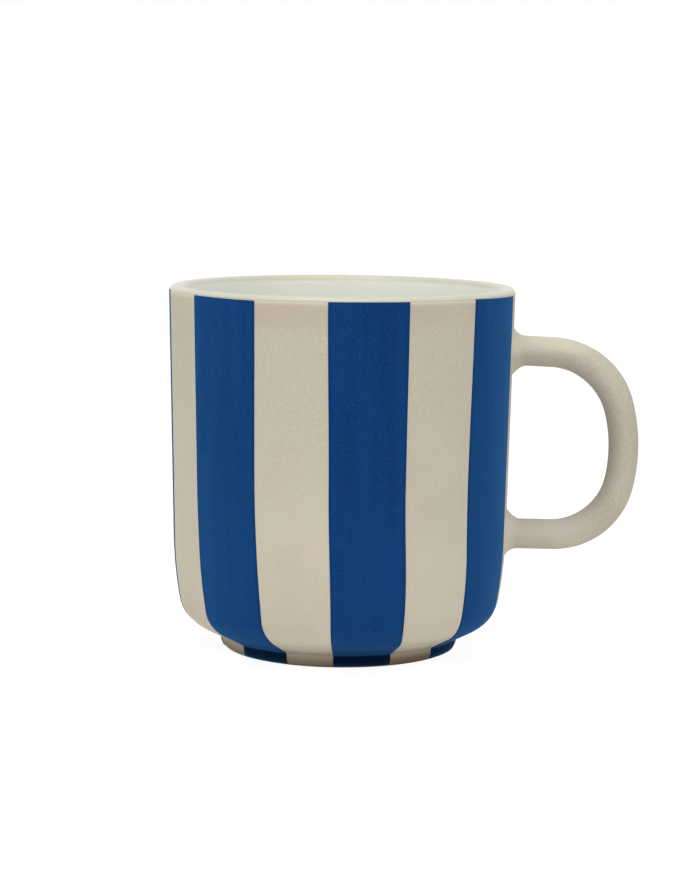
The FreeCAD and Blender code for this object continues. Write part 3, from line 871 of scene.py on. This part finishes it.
slips = [brush_slip("slip_upper", upper_arm, arm_droop, -1), brush_slip("slip_lower", lower_arm, 0, 1)]
for piece in slips:
    report(piece)

# %% [markdown]
# ## Bare stoneware
# The clay is fired hard but left bare. It is a warm grey cream, matt and dry to the touch, with a fine
# grain from sand in the clay, a faint cloudiness from the kiln, and faint level lines left by the
# sponge on the turning wheel. The underside is painted paler: painted light, in place of the light
# thrown up from the floor. The foot ring is painted darker, as painted shade where the mug meets the
# table, and more so on the handle's side, which gets less light. The wall is painted a little darker
# towards the lip, as painted shade where more light falls on it, and it is darker still in cloudy
# patches there. A lighter band just under the glaze's edge is a painted highlight, where the lip's
# round catches the light. The handle's clay is a slightly lighter tone. Painted shade darkens its
# back, which gets less light, and the underside of its upper arm beside the cup.
# Each of these marks is one colour laid over the last, by a share that rises or falls with the height
# or with the distance from the cup's axis. That is simple, and it keeps each mark where it belongs.

# %% Colours of the clay
clay_cream = (0.546, 0.503, 0.408)
clay_shade = (0.502, 0.455, 0.362)
clay_light = (0.585, 0.545, 0.455)
clay_speck = (0.330, 0.275, 0.205)
# Painted shade for the foot ring, where the mug meets the table.
clay_foot_shade = (0.132, 0.086, 0.046)
# A darker tone for cloudy patches towards the lip.
clay_upper_patch = (0.465, 0.382, 0.310)
# Painted highlight for the lip's round, just under the glaze's edge.
clay_lip_highlight = (0.600, 0.570, 0.460)
# Painted light for the underside, in place of the light thrown up from the floor.
clay_painted_bounce = (0.670, 0.612, 0.505)
# Painted shade for the wall towards the lip, where more light falls.
clay_top_shade = (0.446, 0.411, 0.332)
clay_arm = (0.555, 0.512, 0.418)
# Painted shade for the handle's back and the underside of its upper arm.
clay_handle_shade = (0.398, 0.360, 0.287)
print("the clay's colours run from", clay_foot_shade, "to", clay_painted_bounce)

# %% Where the clay is lighter or darker, and how much
# Painted shade on the handle's back, which gets less light, grows across this span.
back_shade_across = (0.054, 0.069)
handle_tone_shares = (0.9, 0.7)
# Painted shade under the handle's upper arm, beside the cup.
arm_shade_upper_edge = (0.0742, 0.0766)
arm_shade_lower_edge = (0.0655, 0.0725)
arm_shade_across = (0.060, 0.068)
arm_shade_share = 0.6
# Painted shade on the wall grows between these heights.
top_shade_heights = (0.015, 0.085)
top_shade_share = 0.8
# Painted light on the underside, rising and then fading with height.
painted_bounce_from = 0.0036
painted_bounce_full = 0.0056
painted_bounce_to = 0.0120
painted_bounce_share = 0.9
upper_patch_heights = (lip_height - 0.0100, lip_height - 0.0035)
upper_patch_share = 0.7
# Painted highlight just under the glaze's edge.
lip_highlight_heights = (lip_height - 0.0021, lip_height - 0.0008)
lip_highlight_share = 0.75
# Painted shade on the foot ring, stronger on the handle's side, which gets less light.
clay_foot_shade_heights = (0.0014, 0.0048)
clay_foot_shade_across = (-0.026, 0.026)
clay_foot_shade_shares = (0.63, 0.90)
print("the foot is rubbed up to", clay_foot_shade_heights[1] * 1000, "mm")

# %% Make the stoneware
grain_size = 0.0005
grain_detail = 4.0
clay_grain_span = (0.35, 0.70)
clay_grain_share = 0.45
clay_cloud_size = 0.024
clay_cloud_span = (0.32, 0.68)
speck_size = 0.0008
speck_span = (0.72, 0.80)
speck_share = 0.2
sponge_size = 0.0016
sponge_stretch = (20, 20, 0.35)
clay_roughness = (0.74, 0.90)

def make_clay(name, sponge_depth, grain_depth, on_handle=False):
    """Bare fired clay: cloudy colour, sand grain, a few specks, sponge lines, and painted light and
    shade.
    """
    finish = Finish(name, Specular_IOR_Level=0.18)
    clouds = finish.remap(finish.noise(clay_cloud_size), clay_cloud_span, (0.0, 1.0))
    grain = finish.noise(grain_size, detail=grain_detail)
    fine = finish.remap(grain, clay_grain_span, (0.0, clay_grain_share))
    specks = finish.remap(finish.noise(speck_size, detail=1.0), speck_span, (0.0, speck_share))
    colour = finish.tint(clay_shade, clay_cream, clouds)
    height = finish.along("Z")
    if on_handle:
        # Painted shade: the handle's back is darker, as it gets less light.
        back_shade = finish.remap(finish.along("X"), back_shade_across, (0.0, 1.0))
        arm_colour = finish.tint(clay_arm, clay_handle_shade, back_shade)
        colour = finish.tint(colour, arm_colour, finish.remap(clouds, (0.0, 1.0), handle_tone_shares))
        # Painted shade under the upper arm, where it is close to the cup.
        under_arm_shade = finish.times(finish.remap(height, arm_shade_upper_edge, (arm_shade_share, 0.0)),
                                finish.remap(height, arm_shade_lower_edge, (0.0, 1.0)))
        beside = finish.remap(finish.along("X"), arm_shade_across, (1.0, 0.0))
        colour = finish.tint(colour, clay_handle_shade, finish.times(under_arm_shade, beside))
    else:
        # Painted shade: the wall darkens towards the lip, where more light falls on it.
        top_shade = finish.remap(height, top_shade_heights, (0.0, top_shade_share))
        colour = finish.tint(colour, clay_top_shade, top_shade)
    # Painted light: the underside is made paler, in place of the light thrown up from the floor.
    painted_bounce = finish.times(finish.remap(height, (painted_bounce_from, painted_bounce_full), (0.0, painted_bounce_share)),
                           finish.remap(height, (painted_bounce_full, painted_bounce_to), (1.0, 0.0)))
    colour = finish.tint(colour, clay_painted_bounce, painted_bounce)
    colour = finish.tint(colour, clay_light, fine)
    colour = finish.tint(colour, clay_speck, specks)
    # Darker in cloudy patches towards the lip.
    upper_patches = finish.times(finish.remap(height, upper_patch_heights, (0.0, upper_patch_share)),
                           finish.remap(clouds, (0.0, 1.0), (1.0, 0.0)))
    colour = finish.tint(colour, clay_upper_patch, upper_patches)
    # Painted highlight: a lighter band just under the glaze's edge, where the lip's round catches light.
    lip_highlight = finish.remap(height, lip_highlight_heights, (0.0, lip_highlight_share))
    colour = finish.tint(colour, clay_lip_highlight, lip_highlight)
    # Painted shade: the foot ring darkens where the mug meets the table, more on the handle's side.
    shaded = finish.times(finish.remap(height, clay_foot_shade_heights, (1.0, 0.0)),
                          finish.remap(finish.along("X"), clay_foot_shade_across, clay_foot_shade_shares))
    colour = finish.tint(colour, clay_foot_shade, shaded)
    finish.feed(Base_Color=colour, Roughness=finish.remap(grain, noise_span, clay_roughness))
    finish.relief(finish.noise(sponge_size, detail=2.0, stretch=sponge_stretch), sponge_depth)
    finish.relief(grain, grain_depth)
    return finish.material

stoneware = make_clay("clay_of_cup", sponge_depth=0.00002, grain_depth=0.000035)
handle_clay = make_clay("clay_of_handle", sponge_depth=0.00001, grain_depth=0.000035, on_handle=True)
slip_clay = make_clay("clay_of_slip", sponge_depth=0.00001, grain_depth=0.00002, on_handle=True)
print("made", stoneware.name, handle_clay.name, "and", slip_clay.name)

# %% [markdown]
# ## Blue slip
# The stripes' colour is cobalt in the same matt clay. The brush leaves faint upright streaks, the coat
# is a little deeper along the tape's edge where it pooled, and the cream clay just shows through a few
# worn pores. The blue is a little lighter towards the bottom. The underside is painted darker, as
# painted shade where it faces down, and the foot ring nearly black, as painted shade where the mug
# meets the table. A dry and powdery surface has a soft bloom when it is seen at a slant, which is the
# shader's sheen.

# %% Colours of the blue
blue_body = (0.0030, 0.0340, 0.1420)
blue_deep = (0.0022, 0.0258, 0.1180)
blue_light = (0.0070, 0.0570, 0.1850)
# Painted shade for the foot ring, where the mug meets the table.
blue_foot_shade = (0.0002, 0.0010, 0.0140)
blue_pooled = (0.0008, 0.0270, 0.1250)
# Painted shade for the underside, which faces down.
blue_underside_shade = (0.0002, 0.0035, 0.0640)
# A lighter blue for the lower wall.
blue_lower_tone = (0.0062, 0.0430, 0.1680)
bloom_colour = (0.09, 0.45, 1.0, 1.0)
print("the blue runs from", blue_foot_shade, "on the foot to", blue_light, "where it is thin")

# %% Where the blue is lighter or darker, and how much
# The blue is lighter below these heights.
lighter_low_heights = (0.010, 0.070)
lighter_low_share = 0.42
# Painted shade on the underside, below these heights.
underside_shade_heights = (0.0042, 0.0090)
underside_shade_share = 0.95
# Painted shade on the foot ring, below these heights.
blue_foot_shade_heights = (foot_height, foot_height + notch_round)
blue_foot_shade_share = 0.97
pooled_share = 0.9
print("the blue has faded up to", round(lighter_low_heights[1] * 1000), "mm")

# %% Make the blue slip
streak_size = 0.0022
streak_stretch = (1, 1, 18)
streak_depth = 0.00001
blue_grain_span = (0.40, 0.72)
blue_grain_share = 0.5
blue_grain_depth = 0.00003
pore_size = 0.0007
pore_span = (0.76, 0.82)
pore_share = 0.05
blue_roughness = (0.58, 0.78)

def make_blue():
    """Matt cobalt slip with brush streaks, pooled edges and worn pores, lighter low down, with painted
    shade under it and on the foot.
    """
    finish = Finish("cobalt_slip", Specular_IOR_Level=0.02, Sheen_Weight=0.30, Sheen_Roughness=0.58,
                    Sheen_Tint=bloom_colour)
    streaks = finish.noise(streak_size, detail=4.0, stretch=streak_stretch)
    streaks = finish.remap(streaks, noise_span, (0.0, 1.0))
    grain = finish.noise(grain_size, detail=grain_detail)
    mottle = finish.remap(grain, blue_grain_span, (0.0, blue_grain_share))
    pores = finish.remap(finish.noise(pore_size, detail=1.0), pore_span, (0.0, pore_share))
    height = finish.along("Z")
    # Lighter towards the bottom.
    lightened = finish.remap(height, lighter_low_heights, (lighter_low_share, 0.0))
    # Painted shade: the underside is darker, as it faces down.
    underside_shade = finish.remap(height, underside_shade_heights, (underside_shade_share, 0.0))
    # Painted shade: the foot ring is nearly black where the mug meets the table.
    shaded = finish.remap(height, blue_foot_shade_heights, (blue_foot_shade_share, 0.0))
    edge = finish.nodes.new("ShaderNodeAttribute")
    edge.attribute_name = "from_edge"
    pooled = finish.remap(edge.outputs["Fac"], (0.0, 1.0), (pooled_share, 0.0))
    colour = finish.tint(blue_deep, blue_body, streaks)
    colour = finish.tint(colour, blue_lower_tone, lightened)
    colour = finish.tint(colour, blue_light, mottle)
    colour = finish.tint(colour, blue_pooled, pooled)
    colour = finish.tint(colour, blue_underside_shade, underside_shade)
    colour = finish.tint(colour, clay_cream, pores)
    colour = finish.tint(colour, blue_foot_shade, shaded)
    finish.feed(Base_Color=colour, Roughness=finish.remap(grain, noise_span, blue_roughness))
    finish.relief(streaks, streak_depth)
    finish.relief(grain, blue_grain_depth)
    return finish.material

blue_slip = make_blue()
print("made", blue_slip.name)

# %% [markdown]
# ## White glaze
# The lining is a smooth satin white with a breath of green, which deepens where the glaze pooled in
# the corner of the floor. It is thin and warm over the lip, and there it is also painted darker, as
# painted shade where the top light falls hardest. Its surface has the slow ripple of all glazes, a few
# pinholes, and fine scratches on the floor from spoons.

# %% Colours of the glaze
glaze_white = (0.825, 0.828, 0.762)
glaze_pool = (0.765, 0.788, 0.716)
# Thin glaze over the clay, also painted darker as painted shade for the lip's strong top light.
glaze_thin_and_shaded = (0.515, 0.503, 0.410)
print("the glaze is", glaze_white, "inside and", glaze_thin_and_shaded, "on the lip")

# %% Make the glaze
thin_and_shaded_heights = (lip_height - 0.0018, lip_height - 0.0004)
glaze_cloud_size = 0.018
glaze_cloud_share = 0.5
pinhole_size = 0.0012
pinhole_span = (0.76, 0.80)
pinhole_depth = 0.00004
scratch_size = 0.0009
scratch_stretch = (0.6, 14, 14)
scratch_span = (0.55, 0.75)
ripple_size = 0.009
ripple_depth = 0.00012
glaze_roughness = (0.28, 0.45)

def make_glaze():
    """Satin white glaze, pooled low down, and thin at the lip, where it is also painted darker as
    painted shade.
    """
    finish = Finish("satin_glaze", Specular_IOR_Level=0.25)
    height = finish.along("Z")
    pooled = finish.remap(height, (floor_height, floor_height + floor_round), (1.0, 0.0))
    # Thin over the lip, with painted shade there as well.
    thin = finish.remap(height, thin_and_shaded_heights, (0.0, 1.0))
    clouds = finish.remap(finish.noise(glaze_cloud_size), noise_span, (0.0, glaze_cloud_share))
    pinholes = finish.remap(finish.noise(pinhole_size, detail=0.0), pinhole_span, (0.0, 1.0))
    scratches = finish.noise(scratch_size, detail=2.0, stretch=scratch_stretch)
    colour = finish.tint(glaze_white, glaze_pool, pooled)
    colour = finish.tint(colour, glaze_pool, clouds)
    colour = finish.tint(colour, glaze_thin_and_shaded, thin)
    worn = finish.times(pooled, finish.remap(scratches, scratch_span, (0.0, 1.0)))
    finish.feed(Base_Color=colour, Roughness=finish.remap(worn, (0.0, 1.0), glaze_roughness))
    finish.relief(finish.noise(ripple_size, detail=1.0), ripple_depth)
    finish.relief(pinholes, -pinhole_depth)
    return finish.material

white_glaze = make_glaze()
print("made", white_glaze.name)

# %% [markdown]
# ## Hand over to the packed model
# Each dressed piece stands for one solid of the packed model, which is then hidden, and is given
# its own finish. Nothing on a mug moves, so all of them ride on one body.

# %% Dress the solids
dressed = [(cup, "cup_body", stoneware, "stoneware"), (bar, "handle", handle_clay, "stoneware"),
           (slips[0], "handle_slip_upper", slip_clay, "stoneware_slip"),
           (slips[1], "handle_slip_lower", slip_clay, "stoneware_slip"),
           (lining, "liner_glaze", white_glaze, "white_glaze")]
for number, piece in enumerate(stripes, start=1):
    dressed.append((piece, f"blue_stripe_{number}", blue_slip, "blue_engobe"))

for piece, node, material, slot in dressed:
    piece.data.materials.clear()
    piece.data.materials.append(material)
    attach(piece, "root")
    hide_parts(node)
print(len(dressed), "pieces stand for", len(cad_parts), "solids")

# %% [markdown]
